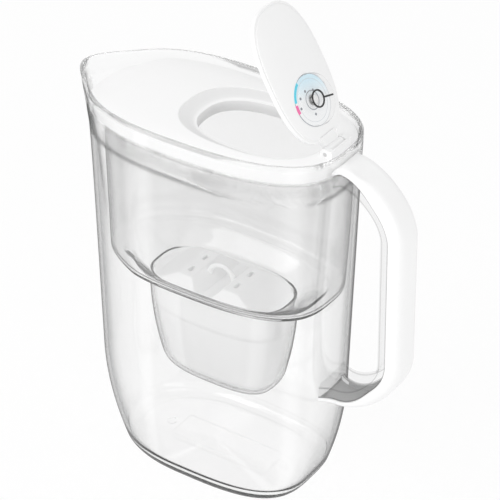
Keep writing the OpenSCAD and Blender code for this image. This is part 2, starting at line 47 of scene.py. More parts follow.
# ---- driving sizes: mostly the part's source's own, but the lid stands closer to the jug's wall ----

JUG_H, HALF_W, JUG_WALL = 280.0, 54.0, 2.5
FRONT_REACH, REAR_REACH = 87.4, 105.5
FRONT_DRAFT, REAR_DRAFT = 0.0193, 0.0492
# Exponents of the jug's oval at the table and at the rim, in front and behind
FRONT_N, REAR_N = (2.2, 2.48), (3.3, 2.72)
TUCK_Z, TUCK_FRONT, TUCK_REAR, TUCK_SIDE = 74.0, 16.3, 11.4, 6.7
FOOT_R, FLOOR_Z, FLOOR_R = 6.0, 3.0, 9.0
SPOUT_REACH, SPOUT_DROP, SPOUT_SLOPE = 17.5, 180.0, math.radians(37)
SPOUT_ROUND, SPOUT_BLEND, SPOUT_SIDE = 5.5, 30.0, 44.0
APEX_IN, APEX_OUT = 2.0, 11.0
AHEAD_FROM, AHEAD_RUN = 0.55, 0.35
LEDGE_Z, LEDGE_IN, LEDGE_H = 263.95, 3.9, 12.0
PANEL_FROM_X, PANEL_TO_X, PANEL_HALF_W, PANEL_SLOPE, PANEL_RISE = -31.0, 51.0, 14.0, 4.0, 0.7
MARKS_X, MARK_R, MARK_SLOPE, MARK_DEPTH, FLOOR_MIDDLE = (-37.0, 58.0), 3.9, 0.8, 0.6, (8.0, 0.0)

HOPPER_Z, HOPPER_TOP_Z, HOPPER_WALL = 154.6, 266.0, 2.0
HOPPER_IN, HOPPER_MID_Z, HOPPER_MID_IN, HOPPER_TOP_IN, HOPPER_CORNER = 6.0, 200.0, 4.9, 4.4, 5.0
FLANGE_T, FLANGE_IN, POUR_GAP = 1.8, 3.0, 6.5
CUP_Z, CUP_MID_Z, CUP_TOP_H = 61.0, 140.0, 84.0
CUP_X, CUP_HALF_L, CUP_HALF_W, CUP_N, CUP_ROUND = 8.4, 53.8, 29.0, 2.8, 17.0
# How much shorter and narrower the cup is at its lowest point, and four times its bow at mid-height
CUP_SHORTER, CUP_NARROWER, CUP_BOW_L, CUP_BOW_W = 12.8, 9.0, 12.0, 12.4
OUTLET_R = 5.0

CART_Z, CART_IN = 64.2, 3.4
BAND_Z, BAND_IN, BAND_WALL, CAP_Z, CAP_T = 120.5, 2.4, 1.2, 141.0, 2.0
# For each ridge of the cap: the middle of its top, and where its slopes start and stop
RIDGES = ((-11.3, -37.0, 5.0), (25.4, 12.0, 54.0))
RIDGE_H, RIDGE_HALF_L, RIDGE_HALF_W, RIDGE_FOOT_W, RIDGE_SOFT = 9.0, 5.8, 16.5, 27.0, 0.35
SLOT_L, SLOT_W, SLOT_Y, SLOT_DEPTH, SLOT_EDGE = 6.0, 2.2, 8.0, 3.0, 0.3
LOOP_X, LOOP_Z, LOOP_R, WIRE_R, WIRE_ROOT = 7.5, 145.0, 9.7, 1.5, 0.6

LID_TOP_Z, LID_T, LID_IN, LID_NOSE = 276.5, 2.0, 3.4, 4.5
LID_EDGE_R, LID_EDGE_DROP, LID_CROWN = 0.9, 2.6, 1.8
LID_DIP, DIP_START, DIP_RUN = 7.0, 58.0, 38.0
SKIRT_Z, SKIRT_T = 266.3, 2.0
MOUTH_X, MOUTH_L, MOUTH_W, MOUTH_N = 35.0, 53.5, 36.7, 2.5
SEAT_X, SEAT_L, SEAT_W, SEAT_Z = 40.4, 47.7, 30.3, 272.3
HOLE_IN, COLLAR_Z = 1.5, 264.5
HINGE_X, HINGE_Z, FLAP_OPEN = 94.0, 278.0, math.radians(60)

FLAP_X, FLAP_L, FLAP_W, FLAP_N = 40.4, 47.0, 29.6, 2.6
FLAP_LOW_Z, FLAP_RIM_Z, FLAP_CROWN_Z, FLAP_IN_Z, FLAP_RIM_T = 272.7, 275.6, 278.4, 275.6, 2.0
FLAP_LOW_R, FLAP_EDGE_R, CROWN_DROP, CROWN_N = 0.9, 0.8, 2.3, 3.2
DIAL_X, DIAL_SEAT_Z, DIAL_R, DIAL_H, DIAL_ROUND = 60.4, 277.2, 17.2, 4.4, 1.2
SCALE_T, SCALE_HOLE_R, KNOB_LIFT, KNOB_HOLE_R = 0.5, 1.55, 0.85, 1.56
RIVET_R, RIVET_LIFT, RIVET_T = 3.2, 2.2, 1.1

BEND_TOP, BEND_LOW, BEND_N = (106.5, 226.0), (107.5, 130.0), 1.75
GRIP_HALF_W, GRIP_OUT_R, SEAM_R, CORE_IN_R = 12.4, 46.0, 36.0, 29.5
GRIP_WALL, ROOT_FLARE, ROOT_OVERLAP, CORE_OVERLAP = 2.2, 4.6, 1.2, 0.05
SEAM_RISE, SEAM_TURN = 5.6, 50.0
DIMPLE_X, DIMPLE_Y, DIMPLE_HALF_L, DIMPLE_HALF_W, DIMPLE_DEPTH = 118.0, -3.5, 8.5, 6.5, 1.4

# ---- the dial's print, in millimetres from its middle and in degrees ----

DARK_GREY, MID_GREY, PALE_GREY = (0.25, 0.27, 0.3), (0.4, 0.42, 0.45), (0.6, 0.63, 0.66)
DIAL_CIRCLES = ((5.8, 6.5, MID_GREY), (13.9, 14.15, PALE_GREY), (16.8, 17.2, MID_GREY))
DIAL_ARCS = ((-155, -107, (0.1, 0.66, 0.84)), (-102, -81, (0.93, 0.16, 0.42)))
ARC_IN_R, ARC_OUT_R, DOT_R = 14.9, 17.2, 0.9
DIAL_DOTS = ((-7.5, -3.1), (-5.0, 4.3), (-5.4, -9.9), (0.2, -13.0), (8.8, -2.6))
BLUE_FROM, BLUE_TO, BLUE_TILT = -14.0, 15.0, 0.25

# ---- view and studio: the camera's turn and rise in radians, its place in millimetres along its own
# axes and its focal length in the photograph's pixels; lamps and floor in metres ----

VIEW_TURN, VIEW_RISE = 0.588998, 0.595625
VIEW_RIGHT, VIEW_UP, VIEW_BACK = 24.5132, 135.3543, 1849.6703
VIEW_FOCAL, PHOTO_WIDTH, SENSOR = 2601.154, 500, 36.0
LAMPS = (("key", (-0.8, -1.1, 1.3), 8.5), ("fill", (1.2, -0.9, 0.8), 4.8))
LAMP_SIZE, LAMP_AIM = 1.0, (0.0, 0.0, 0.16)
SURROUND_LIGHT, GROUND_HALF, GROUND_Z, GROUND_GLOW = 0.78, 4.0, -0.0002, 0.9


# ---- shape functions ----

def ease(t):
    """A smooth step from 0 to 1 while t goes from 0 to 1: three times its square less twice its cube."""
    c = np.clip(t, 0.0, 1.0)
    return c * c * (3 - 2 * c)


def mix(a, b, t):
    """The straight blend that is a where t is 0 and b where t is 1."""
    return a + (b - a) * t


def around(count, gather=25.0):
    """Angles once round a ring: even steps plus their own sine times gather, which brings them closer
    together near 180 degrees, where the spout is."""
    turn = 2 * np.pi * np.arange(count) / count
    return turn + math.radians(gather) * np.sin(turn)


def oval_r(a, front, rear, width, n_front, n_rear):
    """Polar radius of a superellipse whose half-length and exponent differ in front and behind: the
    n-th powers of cosine over length and sine over width are added, and the sum's n-th root inverted."""
    behind = np.cos(a) >= 0
    length, n = np.where(behind, rear, front), np.where(behind, n_rear, n_front)
    return ((np.abs(np.cos(a)) / length) ** n + (np.abs(np.sin(a)) / width) ** n) ** (-1 / n)


def tuck(z):
    """How much of the foot's tuck there is at height z: a parabola, 1 at the table and 0 at TUCK_Z."""
    return np.maximum(0.0, (TUCK_Z - z) / TUCK_Z) ** 2


def front_x(z):
    """The body's reach in front at height z: less by a straight draft downwards, and by the tuck."""
    return FRONT_REACH - FRONT_DRAFT * (JUG_H - z) - TUCK_FRONT * tuck(z)


def body_r(a, z, g):
    """Polar radius of the jug's body at height z, inset by g: an oval that tucks in at the foot."""
    rear = REAR_REACH - REAR_DRAFT * (JUG_H - z) - TUCK_REAR * tuck(z)
    return oval_r(a, front_x(z) - g, rear - g, HALF_W - TUCK_SIDE * tuck(z) - g,
                  mix(*FRONT_N, z / JUG_H), mix(*REAR_N, z / JUG_H))


def nose_r(a, z, g):
    """Polar radius of the spout's wedge: two flanks, sloped either way, whose crossing leans out with
    the height. A p-norm over the flanks, the sides and the rear rounds the nose between them."""
    out = np.maximum(0.0, 1 - (JUG_H - z) / SPOUT_DROP)
    apex = front_x(z) + APEX_IN + (SPOUT_REACH + APEX_OUT) * out
    d = apex * math.sin(SPOUT_SLOPE) - g
    left = np.sin(a) * math.cos(SPOUT_SLOPE) - np.cos(a) * math.sin(SPOUT_SLOPE)
    right = -np.sin(a) * math.cos(SPOUT_SLOPE) - np.cos(a) * math.sin(SPOUT_SLOPE)
    p = SPOUT_ROUND
    total = (np.maximum(left, 0) ** p + np.maximum(right, 0) ** p
             + (np.abs(np.sin(a)) * d / (SPOUT_SIDE - g)) ** p
             + (np.maximum(np.cos(a), 0) * d / SPOUT_SIDE) ** p)
    return d / total ** (1 / p)


def jug_r(a, z, g):
    """The q-norm of the body's and the spout's radius: the larger one, blended where they cross."""
    q = SPOUT_BLEND
    return (body_r(a, z, g) ** q + nose_r(a, z, g) ** q) ** (1 / q)


def ahead(a):
    """1 in front, 0 at the sides and behind: a smooth step over the cosine."""
    return ease((-np.cos(a) - AHEAD_FROM) / AHEAD_RUN)


def stack(radius, a, z, g):
    """Rings of a polar surface. z and g hold one height and one inset, or row of insets, per ring."""
    z = np.asarray(z, float)[:, None]
    g = np.asarray(g, float)
    g = g if g.ndim == 2 else g[:, None]
    r = radius(a[None, :], z, g)
    return np.stack([r * np.cos(a), r * np.sin(a), np.broadcast_to(z, r.shape)], -1)


def oval_rings(a, z, x, length, width, n):
    """Rings of superellipses about the line at x, with one height and one size per ring."""
    z, length, width = (np.atleast_1d(np.asarray(v, float))[:, None] for v in (z, length, width))
    r = oval_r(a[None, :], length, length, width, n, n)
    return np.stack([x + r * np.cos(a), r * np.sin(a), np.broadcast_to(z, r.shape)], -1)


def cup_sizes(h, g):
    """Half-length and half-width of the boat-shaped cup at height h over its lowest point, inset by g:
    a parabola over the height for each, drawn in by a quarter circle at the bottom."""
    h = np.minimum(np.asarray(h, float), CUP_TOP_H)
    t = h / (CUP_MID_Z - CUP_Z)
    radius = CUP_ROUND - g
    drawn_in = radius - np.sqrt(np.maximum(radius ** 2 - np.maximum(radius - h, 0) ** 2, 0))
    length = CUP_HALF_L - CUP_SHORTER + (CUP_SHORTER + CUP_BOW_L) * t - CUP_BOW_L * t * t - drawn_in - g
    width = CUP_HALF_W - CUP_NARROWER + (CUP_NARROWER + CUP_BOW_W) * t - CUP_BOW_W * t * t - drawn_in - g
    return length, width


def cup_rings(a, z, g, low):
    """Rings of the cup's wall at heights z, for a boat shape whose lowest point is at height low."""
    z = np.atleast_1d(np.asarray(z, float))
    length, width = cup_sizes(z - low, g)
    return oval_rings(a, z, CUP_X, length, width, CUP_N)


def opened(points):
    """Turns points given with the flap closed about the hinge to the flap's place at rest."""
    p = np.array(points, float)
    x, z = p[..., 0] - HINGE_X, p[..., 2] - HINGE_Z
    c, s = math.cos(FLAP_OPEN), math.sin(FLAP_OPEN)
    p[..., 0], p[..., 2] = HINGE_X + c * x + s * z, HINGE_Z - s * x + c * z
    return p


def arc(start, stop, steps):
    """Angles in radians, evenly from start to stop in degrees."""
    return np.radians(np.linspace(start, stop, steps))


def between(start, stop, steps):
    """Heights from start to stop without the first one, so that stretches join with no double ring."""
    return np.linspace(start, stop, steps + 1)[1:]


# ---- meshes ----

def skin(name, rings, loop=False, crease=35.0):
    """A closed mesh through rings of equal count, given in millimetres. Neighbouring rings are joined
    by quads; the first and last ring are closed by a fan, or joined to each other if loop is set."""
    rings = np.asarray(rings, float)
    rows, count = rings.shape[:2]
    here = np.arange(count)
    after = (here + 1) % count
    low = np.arange(rows if loop else rows - 1)[:, None]
    high = (low + 1) % rows
    quads = np.stack([low * count + here, low * count + after,
                      high * count + after, high * count + here], -1)
    points = rings.reshape(-1, 3)
    faces = quads.reshape(-1, 4).tolist()
    if not loop:
        tip = rows * count
        points = np.vstack([points, rings[0].mean(0), rings[-1].mean(0)])
        faces += np.stack([after, here, np.full(count, tip)], -1).tolist()
        faces += np.stack([(rows - 1) * count + here, (rows - 1) * count + after,
                           np.full(count, tip + 1)], -1).tolist()
    mesh = bpy.data.meshes.new(name)
    mesh.from_pydata((points * MM).tolist(), [], faces)
    mesh.shade_smooth()
    mesh.set_sharp_from_angle(angle=math.radians(crease))
    piece = bpy.data.objects.new(name, mesh)
    bpy.context.scene.collection.objects.link(piece)
    return piece


def note(piece, name, values):
    """Keeps a value for each point of the rings on the mesh, for its material to read."""
    attribute = piece.data.attributes.new(name, "FLOAT", "POINT")
    values = np.ravel(values).astype(np.float32)
    spare = len(piece.data.vertices) - len(values)
    attribute.data.foreach_set("value", np.concatenate([values, np.full(spare, values[-1], np.float32)]))


def lathe(profile, centre, count=96):
    """Rings that turn a profile of (radius, height) about a vertical line at centre."""
    profile = np.asarray(profile, float)
    a = 2 * np.pi * np.arange(count) / count
    r, z = profile[:, :1], profile[:, 1:]
    return np.stack([centre + r * np.cos(a), r * np.sin(a), np.broadcast_to(z, (len(profile), count))], -1)


def dress(piece, body, slot, material, *nodes):
    """Gives a new piece its body and its finish, and hides the CAD nodes that it stands for.
    slot is not used.
    """
    piece.data.materials.clear()
    piece.data.materials.append(material)
    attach(piece, body)
    if nodes:
        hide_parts(*nodes)
    return piece


# ---- materials ----

class Finish:
    """A material and its node tree, with a short way to add and link nodes."""

    def __init__(self, name):
        self.material = bpy.data.materials.new(name)
        self.material.use_nodes = True
        self.tree = self.material.node_tree
        self.shader = self.tree.nodes["Principled BSDF"]
        self.output = self.tree.nodes["Material Output"]
        self.place = self.add("ShaderNodeTexCoord").outputs["Object"]

    def add(self, kind, links=None, **values):
        node = self.tree.nodes.new(kind)
        for key, value in values.items():
            setattr(node, key, value)
        for key, source in (links or {}).items():
            socket = node.inputs[key]
            if hasattr(source, "is_output"):
                self.tree.links.new(source, socket)
            else:
                socket.default_value = source
        return node

    def set(self, **values):
        for key, value in values.items():
            self.shader.inputs[key.replace("_", " ")].default_value = value

    def link(self, source, target):
        self.tree.links.new(source, target)

    def attribute(self, name):
        """A value kept for each point of the mesh."""
        return self.add("ShaderNodeAttribute", attribute_name=name).outputs["Fac"]

    def facing(self):
        """0 where the surface is seen face on, and 1 at its turned edge."""
        return self.add("ShaderNodeLayerWeight", {"Blend": 0.5}).outputs["Facing"]

    def lamp_ray(self):
        """1 for the shadow and diffuse rays that carry the lamps' light through clear plastic."""
        path = self.add("ShaderNodeLightPath").outputs
        return self.math("MAXIMUM", path["Is Shadow Ray"], path["Is Diffuse Ray"])

    def noise(self, scale, detail=2.0):
        links = {"Vector": self.place, "Scale": scale, "Detail": detail}
        return self.add("ShaderNodeTexNoise", links).outputs["Fac"]

    def ramp(self, source, stops):
        """A colour ramp through (position, grey or colour) stops."""
        node = self.add("ShaderNodeValToRGB", {"Fac": source})
        line = node.color_ramp
        while len(line.elements) < len(stops):
            line.elements.new(0.5)
        for element, (position, colour) in zip(line.elements, stops):
            element.position = position
            element.color = (colour, colour, colour, 1) if isinstance(colour, float) else (*colour, 1)
        return node.outputs["Color"]

    def math(self, operation, first, second, third=0.0):
        node = self.add("ShaderNodeMath", {0: first, 1: second, 2: third}, operation=operation)
        return node.outputs["Value"]

    def between(self, source, low, high):
        """1 where a value lies between two others, else 0."""
        over = self.math("GREATER_THAN", source, low)
        return self.math("MULTIPLY", over, self.math("LESS_THAN", source, high))

    def span(self, source, low, high, start=0.0, stop=1.0):
        """Stretches a value that goes from start to stop, so that it goes from low to high."""
        links = {"Value": source, "From Min": start, "From Max": stop, "To Min": low, "To Max": high}
        return self.add("ShaderNodeMapRange", links).outputs["Result"]

    def bump(self, source, depth):
        node = self.add("ShaderNodeBump", {"Height": source, "Distance": depth, "Strength": 1.0})
        self.link(node.outputs["Normal"], self.shader.inputs["Normal"])

    def colours(self, share, first, second):
        """The first colour, going over to the second by share."""
        links = {0: share, 6: first, 7: (*second, 1)}
        return self.add("ShaderNodeMix", links, data_type="RGBA").outputs[2]

    def shaders(self, share, first, second):
        """A node that goes over from the first node's shading to the second's by share."""
        return self.add("ShaderNodeMixShader", {0: share, 1: first.outputs[0], 2: second.outputs[0]})

    def surface(self, node):
        self.link(node.outputs[0], self.output.inputs["Surface"])


def moulded_plastic(name, light, dark, roughness, grain=900.0, depth=0.00002):
    """Opaque moulded plastic: a hardly visible drift of colour, a fine grain and an uneven gloss."""
    f = Finish(name)
    f.link(f.ramp(f.noise(14.0, 3.0), [(0.3, dark), (0.7, light)]), f.shader.inputs["Base Color"])
    f.link(f.span(f.noise(60.0), roughness - 0.05, roughness + 0.05), f.shader.inputs["Roughness"])
    f.bump(f.noise(grain, 1.0), depth)
    return f.material


def clear_plastic(name, painted_stripes, painted_edge_stops, painted_edge_grey, shade, top, thin):
    """Clear moulded plastic. It lets lamps through. Seen face on it is clear, and it greys towards a
    painted dark line where its surface turns away, standing in for the shade that thick clear walls
    show on a white ground. The stripes are greys over one turn about the jug's upright line, painted
    shade with a pale upright stripe painted in as the reflection of a bright window. shade gives two
    heights and the share of that grey at the upper one, painted shade towards the top, and top the
    two heights over which the painted dark line fades and the share of it that stays. thin gives
    shares of straight-through light over the height, for edges that hardly bend it."""
    f = Finish(name)
    f.set(IOR=1.49, Transmission_Weight=1.0)
    split = f.add("ShaderNodeSeparateXYZ", {"Vector": f.place}).outputs
    turn = f.span(f.math("ARCTAN2", split["Y"], split["X"]), 0.0, 1.0, -math.pi, math.pi)
    # Painted shade, greyer towards the top under the lid, times the painted stripes, as the base colour
    painted_shade_level = f.span(split["Z"], 1.0, shade[2], shade[0], shade[1])
    f.link(f.math("MULTIPLY", f.ramp(turn, painted_stripes), painted_shade_level), f.shader.inputs["Base Color"])
    f.link(f.span(f.noise(40.0), 0.0, 0.03), f.shader.inputs["Roughness"])
    f.bump(f.noise(26.0, 1.0), 0.00003)
    # Painted dark edge: a dark grey mixed in where the surface turns away, fading near the top
    rim = f.add("ShaderNodeBsdfDiffuse", {"Color": (painted_edge_grey, painted_edge_grey, painted_edge_grey, 1)})
    line = f.span(split["Z"], 1.0, top[2], top[0], top[1])
    edged = f.shaders(f.math("MULTIPLY", f.ramp(f.facing(), painted_edge_stops), line), f.shader, rim)
    straight = f.ramp(f.math("MULTIPLY", split["Z"], THIN_PER_METRE), thin)
    clear = f.add("ShaderNodeBsdfTransparent", {"Color": (0.995, 0.995, 0.995, 1)})
    f.surface(f.shaders(f.math("MAXIMUM", f.lamp_ray(), straight), edged, clear))
    return f.material


def see_through(name, tint_of, gloss=1.0):
    """Clear plastic that is looked straight through, with a tint that tint_of works out. Its gloss
    grows towards turned edges, and inner faces and shadow rays have none."""
    f = Finish(name)
    f.tree.nodes.remove(f.shader)
    clear = f.add("ShaderNodeBsdfTransparent", {"Color": f.colours(f.lamp_ray(), tint_of(f), (1, 1, 1))})
    rough = f.span(f.noise(40.0), 0.03, 0.08)
    shine = f.add("ShaderNodeBsdfGlossy", {"Color": (1, 1, 1, 1), "Roughness": rough})
    share = f.ramp(f.facing(), [(0.0, 0.03), (0.6, 0.05), (0.85, 0.2), (1.0, 0.7)])
    share = f.math("MULTIPLY", share, gloss)
    for quiet in (f.add("ShaderNodeLightPath").outputs["Is Shadow Ray"],
                  f.add("ShaderNodeNewGeometry").outputs["Backfacing"]):
        share = f.math("MULTIPLY", share, f.math("SUBTRACT", 1.0, quiet))
    f.surface(f.shaders(share, clear, shine))
    return f.material


def knob_painted_edge_tint(f):
    """Clear face on, and a grey painted at the knob's turned edge as the shade that its thick edge shows."""
    return f.ramp(f.facing(), [(0.0, 0.995), (0.6, 0.985), (0.72, 0.9), (0.8, 0.65), (0.9, 0.82),
                               (1.0, 0.75)])


def core_painted_edge_tint(f):
    """By the distance from the bend's centre: nearly clear on the finger side, then a thin grey line
    painted as edge shade where the rounded corner turns away, a clear flank and a dark line painted
    along the seam as the shade of the core's edge there."""
    d = f.span(f.attribute("from_bend"), 0.0, 1.0, CORE_IN_R, SEAM_R)
    return f.ramp(d, [(0.0, 0.95), (0.2, 0.95), (0.3, 0.72), (0.38, 0.97), (0.86, 0.98), (0.93, 0.66),
                      (1.0, 0.62)])


def dial_print(name):
    """The printed disc: pale, bluer on one side, with a grey circle, fine outer rings, a blue and a red
    arc and five plain dots. Its attributes give the place on the disc in millimetres."""
    f = Finish(name)
    x, y = f.attribute("dial_across"), f.attribute("dial_along")
    place = f.add("ShaderNodeCombineXYZ", {"X": x, "Y": y}).outputs["Vector"]
    r = f.add("ShaderNodeVectorMath", {0: place}, operation="LENGTH").outputs["Value"]
    turn = f.math("ARCTAN2", y, x)
    slant = f.math("MULTIPLY_ADD", y, BLUE_TILT, f.math("MULTIPLY", x, -1.0))
    colour = f.ramp(f.span(slant, 0.0, 1.0, BLUE_FROM, BLUE_TO),
                    [(0.5, (0.95, 0.96, 0.97)), (0.95, (0.68, 0.87, 0.96))])
    layers = [(f.between(r, inner, outer), paint) for inner, outer, paint in DIAL_CIRCLES]
    for start, stop, paint in DIAL_ARCS:
        sector = f.between(turn, math.radians(start), math.radians(stop))
        layers.append((f.math("MULTIPLY", f.between(r, ARC_IN_R, ARC_OUT_R), sector), paint))
    for dot in DIAL_DOTS:
        far = f.add("ShaderNodeVectorMath", {0: place, 1: (*dot, 0)}, operation="DISTANCE").outputs["Value"]
        layers.append((f.math("LESS_THAN", far, DOT_R), DARK_GREY))
    for share, paint in layers:
        colour = f.colours(share, colour, paint)
    f.link(colour, f.shader.inputs["Base Color"])
    f.link(f.span(f.noise(60.0), 0.25, 0.35), f.shader.inputs["Roughness"])
    return f.material


def lid_plastic(name):
    """The lid's white, greyer on the recess's slope and on the collar's wall, where less light comes."""
    f = Finish(name)
    colour = f.ramp(f.attribute("recess"), [(0.0, 0.93), (0.5, 0.8), (1.0, 0.68)])
    f.link(colour, f.shader.inputs["Base Color"])
    f.link(f.span(f.noise(60.0), 0.27, 0.37), f.shader.inputs["Roughness"])
    f.bump(f.noise(900.0, 1.0), 0.00002)
    return f.material


def brushed_metal(name, light, dark):
    """Steel with fine streaks, closest together across X."""
    f = Finish(name)
    f.set(Metallic=1.0)
    streaks = f.add("ShaderNodeMapping", {"Vector": f.place, "Scale": (3000.0, 200.0, 200.0)})
    grain = f.add("ShaderNodeTexNoise", {"Vector": streaks.outputs["Vector"], "Scale": 1.0}).outputs["Fac"]
    f.link(f.ramp(grain, [(0.3, dark), (0.7, light)]), f.shader.inputs["Base Color"])
    f.link(f.span(grain, 0.25, 0.4), f.shader.inputs["Roughness"])
    return f.material


WHITE = moulded_plastic("white_plastic", 0.93, 0.915, 0.32)
WHITE_SOFT = moulded_plastic("white_cartridge_plastic", 0.93, 0.915, 0.5, 1500.0, 0.00003)
CARTRIDGE_WHITE = moulded_plastic("cartridge_shell_plastic", 0.92, 0.9, 0.5, 1500.0, 0.00003)
PALE_RUBBER = moulded_plastic("pale_rubber", 0.62, 0.58, 0.6)
CARBON = moulded_plastic("carbon_grains", 0.12, 0.04, 0.8, 1200.0, 0.0002)
FLEECE = moulded_plastic("white_fleece", 0.82, 0.74, 0.9, 3000.0, 0.0001)
BLACK_PRINT = moulded_plastic("black_print", 0.02, 0.015, 0.4)
STEEL = brushed_metal("brushed_steel", 0.75, 0.6)
# Painted shade over one turn that starts ahead at the spout: the near side is first, and has two pale
# stripes painted in as reflections of bright windows
JUG_PAINTED_STRIPES = [(0.0, 0.985), (0.042, 0.95), (0.172, 0.95), (0.182, 1.0), (0.2, 1.0), (0.21, 0.95),
           (0.425, 0.95), (0.433, 1.0), (0.443, 1.0), (0.452, 0.94), (0.49, 0.98), (1.0, 0.98)]
# The hopper's painted shade, with pale stripes painted in as reflections, over the same turn
HOPPER_PAINTED_STRIPES = [(0.0, 0.98), (0.05, 0.98), (0.17, 0.99), (0.182, 1.0), (0.2, 1.0), (0.212, 0.93),
                 (0.42, 0.93), (0.43, 0.99), (0.445, 0.99), (0.455, 0.92), (0.49, 0.96), (1.0, 0.98)]
# Shares of straight-through light: a metre of height takes up THIN_PER_METRE of the ramp
THIN_PER_METRE = 3.5
THIN_RIM = [(0.0, 0.0), (0.87, 0.0), (0.882, 0.6), (0.932, 0.6), (0.94, 0.0), (0.966, 0.0), (0.973, 0.5)]
THIN_FLANGE = [(0.0, 0.0), (0.88, 0.0), (0.91, 0.75)]
# The jug's and the hopper's clear plastic: painted shade by turn and height, and a painted dark edge
CLEAR = clear_plastic("clear_jug_plastic", JUG_PAINTED_STRIPES,
                      [(0.0, 0.0), (0.45, 0.0), (0.6, 0.1), (0.8, 0.42), (0.95, 0.85)], 0.1,
                      (0.05, 0.27, 0.99), (0.2725, 0.2765, 0.1), THIN_RIM)
HOPPER_CLEAR = clear_plastic("clear_hopper_plastic", HOPPER_PAINTED_STRIPES,
                             [(0.0, 0.0), (0.55, 0.02), (0.7, 0.2), (0.85, 0.6), (0.95, 0.9)], 0.08,
                             (0.17, 0.26, 0.95), (0.254, 0.262, 0.08), THIN_FLANGE)
LID_WHITE = lid_plastic("lid_white_plastic")
KNOB_CLEAR = see_through("clear_knob_plastic", knob_painted_edge_tint)
CORE_CLEAR = see_through("clear_handle_plastic", core_painted_edge_tint, 0.8)
DIAL_PRINT = dial_print("dial_print")


# ---- jug ----

def floor_relief(x, y):
    """Height over the flat inner floor: a shallow panel along the middle, the product of smooth steps
    at its sides, and a round hollow mark in front of it and behind."""
    panel = (ease((x - PANEL_FROM_X) / PANEL_SLOPE) * ease((PANEL_TO_X - x) / PANEL_SLOPE)
             * ease((PANEL_HALF_W - np.abs(y)) / PANEL_SLOPE))
    marks = sum(ease((MARK_R - np.hypot(x - m, y)) / MARK_SLOPE) for m in MARKS_X)
    return PANEL_RISE * panel - MARK_DEPTH * marks


def jug_shell():
    """The jug's whole wall as one profile carried round: up the outside, over the rolled rim, down
    the inside past the ledge, and in over the floor to its middle."""
    a = around(256)
    lip_r = JUG_WALL / 2
    t = arc(90, 0, 12)
    z = [FOOT_R * (1 - np.sin(t)), between(FOOT_R, JUG_H - lip_r, 90)]
    g = [FOOT_R * (1 - np.cos(t)), np.zeros(90)]
    t = arc(0, 180, 13)[1:]
    z.append(JUG_H - lip_r + lip_r * np.sin(t))
    g.append(lip_r * (1 - np.cos(t)))
    first = sum(len(stretch) for stretch in z)
    z.append(np.concatenate([between(JUG_H - lip_r, LEDGE_Z + 0.5, 6),
                             LEDGE_Z + np.array([0.1, 0, -0.4, -4, -LEDGE_H])]))
    ledge = np.concatenate([np.zeros(6), (LEDGE_IN - JUG_WALL) * np.array([0.1, 0.8, 1.0, 1.0, 0.0])])
    g.append(np.full(len(ledge), JUG_WALL))
    z.append(between(LEDGE_Z - LEDGE_H, FLOOR_Z + FLOOR_R, 70))
    g.append(np.full(70, JUG_WALL))
    t = arc(0, 90, 14)[1:]
    z.append(FLOOR_Z + FLOOR_R * (1 - np.sin(t)))
    g.append(JUG_WALL + FLOOR_R * (1 - np.cos(t)))
    inset = np.repeat(np.concatenate(g)[:, None], len(a), 1)
    inset[first:first + len(ledge)] += ledge[:, None] * (1 - ahead(a)[None, :])
    wall = stack(jug_r, a, np.concatenate(z), inset)
    share = np.linspace(1, 0.01, 110)[1:, None]
    middle = np.array(FLOOR_MIDDLE)
    flat = middle + (wall[-1][None, :, :2] - middle) * share[:, :, None]
    rise = FLOOR_Z + floor_relief(flat[..., 0], flat[..., 1])
    floor = np.concatenate([flat, rise[..., None]], -1)
    return skin("jug_shell", np.concatenate([wall, floor]))


# ---- handle ----

def handle_path():
    """Stations along the handle as columns: bend centre x and z, direction x and z, how far the station
    is on its way along an arm to the jug's wall, and how far the seam has risen there. The bends are a
    little squared."""
    arm = np.linspace(1, 0, 22)[:-1]
    t = arc(0, 90, 31)
    squared = (np.abs(np.sin(t)) ** BEND_N + np.abs(np.cos(t)) ** BEND_N) ** (-1 / BEND_N)
    across, up = np.sin(t) * squared, np.cos(t) * squared
    risen = ease(1 - np.degrees(t) / SEAM_TURN)
    down_leg = np.linspace(0, 1, 20)[1:-1]

    def columns(centre, across, up, share, risen):
        return np.stack(np.broadcast_arrays(*centre, across, up, share, risen), -1)

    centre = [mix(top, low, down_leg) for top, low in zip(BEND_TOP, BEND_LOW)]
    return np.concatenate([
        columns(BEND_TOP, 0.0, 1.0, arm, 1.0),
        columns(BEND_TOP, across, up, 0.0, risen),
        columns(centre, 1.0, 0.0, 0.0, 0.0),
        columns(BEND_LOW, across[::-1], -up[::-1], 0.0, risen[::-1]),
        columns(BEND_LOW, 0.0, -1.0, arm[::-1], 1.0)])


def wall_x(y, z):
    """Where the jug's rear wall is above its tuck, off-centre by y at height z: the superellipse of
    body_r solved for x, with y held below the half-width."""
    length = REAR_REACH - REAR_DRAFT * (JUG_H - z)
    n = mix(*REAR_N, z / JUG_H)
    return length * (1 - (np.minimum(np.abs(y), 50) / HALF_W) ** n) ** (1 / n)


def along_handle(section, overlap=ROOT_OVERLAP, hollow=None):
    """Carries a section of (distance out, offset y) points along the handle: each station's bend centre
    plus the distance times its direction. The arms spread towards the jug with the square of their
    share and follow its curved wall, and the seam between core and grip rises towards them. hollow
    lowers points, as a thumb's dimple does."""
    path = handle_path()
    cx, cz, dx, dz, s, risen = (path[:, i][:, None] for i in range(6))
    d = section[None, :, 0]
    lift = (np.clip((d - CORE_IN_R) / (SEAM_R - CORE_IN_R), 0, 1)
            - np.clip((d - SEAM_R) / (GRIP_OUT_R - SEAM_R), 0, 1))
    d = d + SEAM_RISE * risen * lift
    y = section[None, :, 1] * (1 + ROOT_FLARE / GRIP_HALF_W * s ** 2)
    x, z = cx + d * dx, cz + d * dz
    x = np.where(s > 0, mix(x, wall_x(y, z) - overlap, s), x)
    points = np.stack([x, y, z], -1)
    if hollow is not None:
        points = hollow(points, d)
    return points


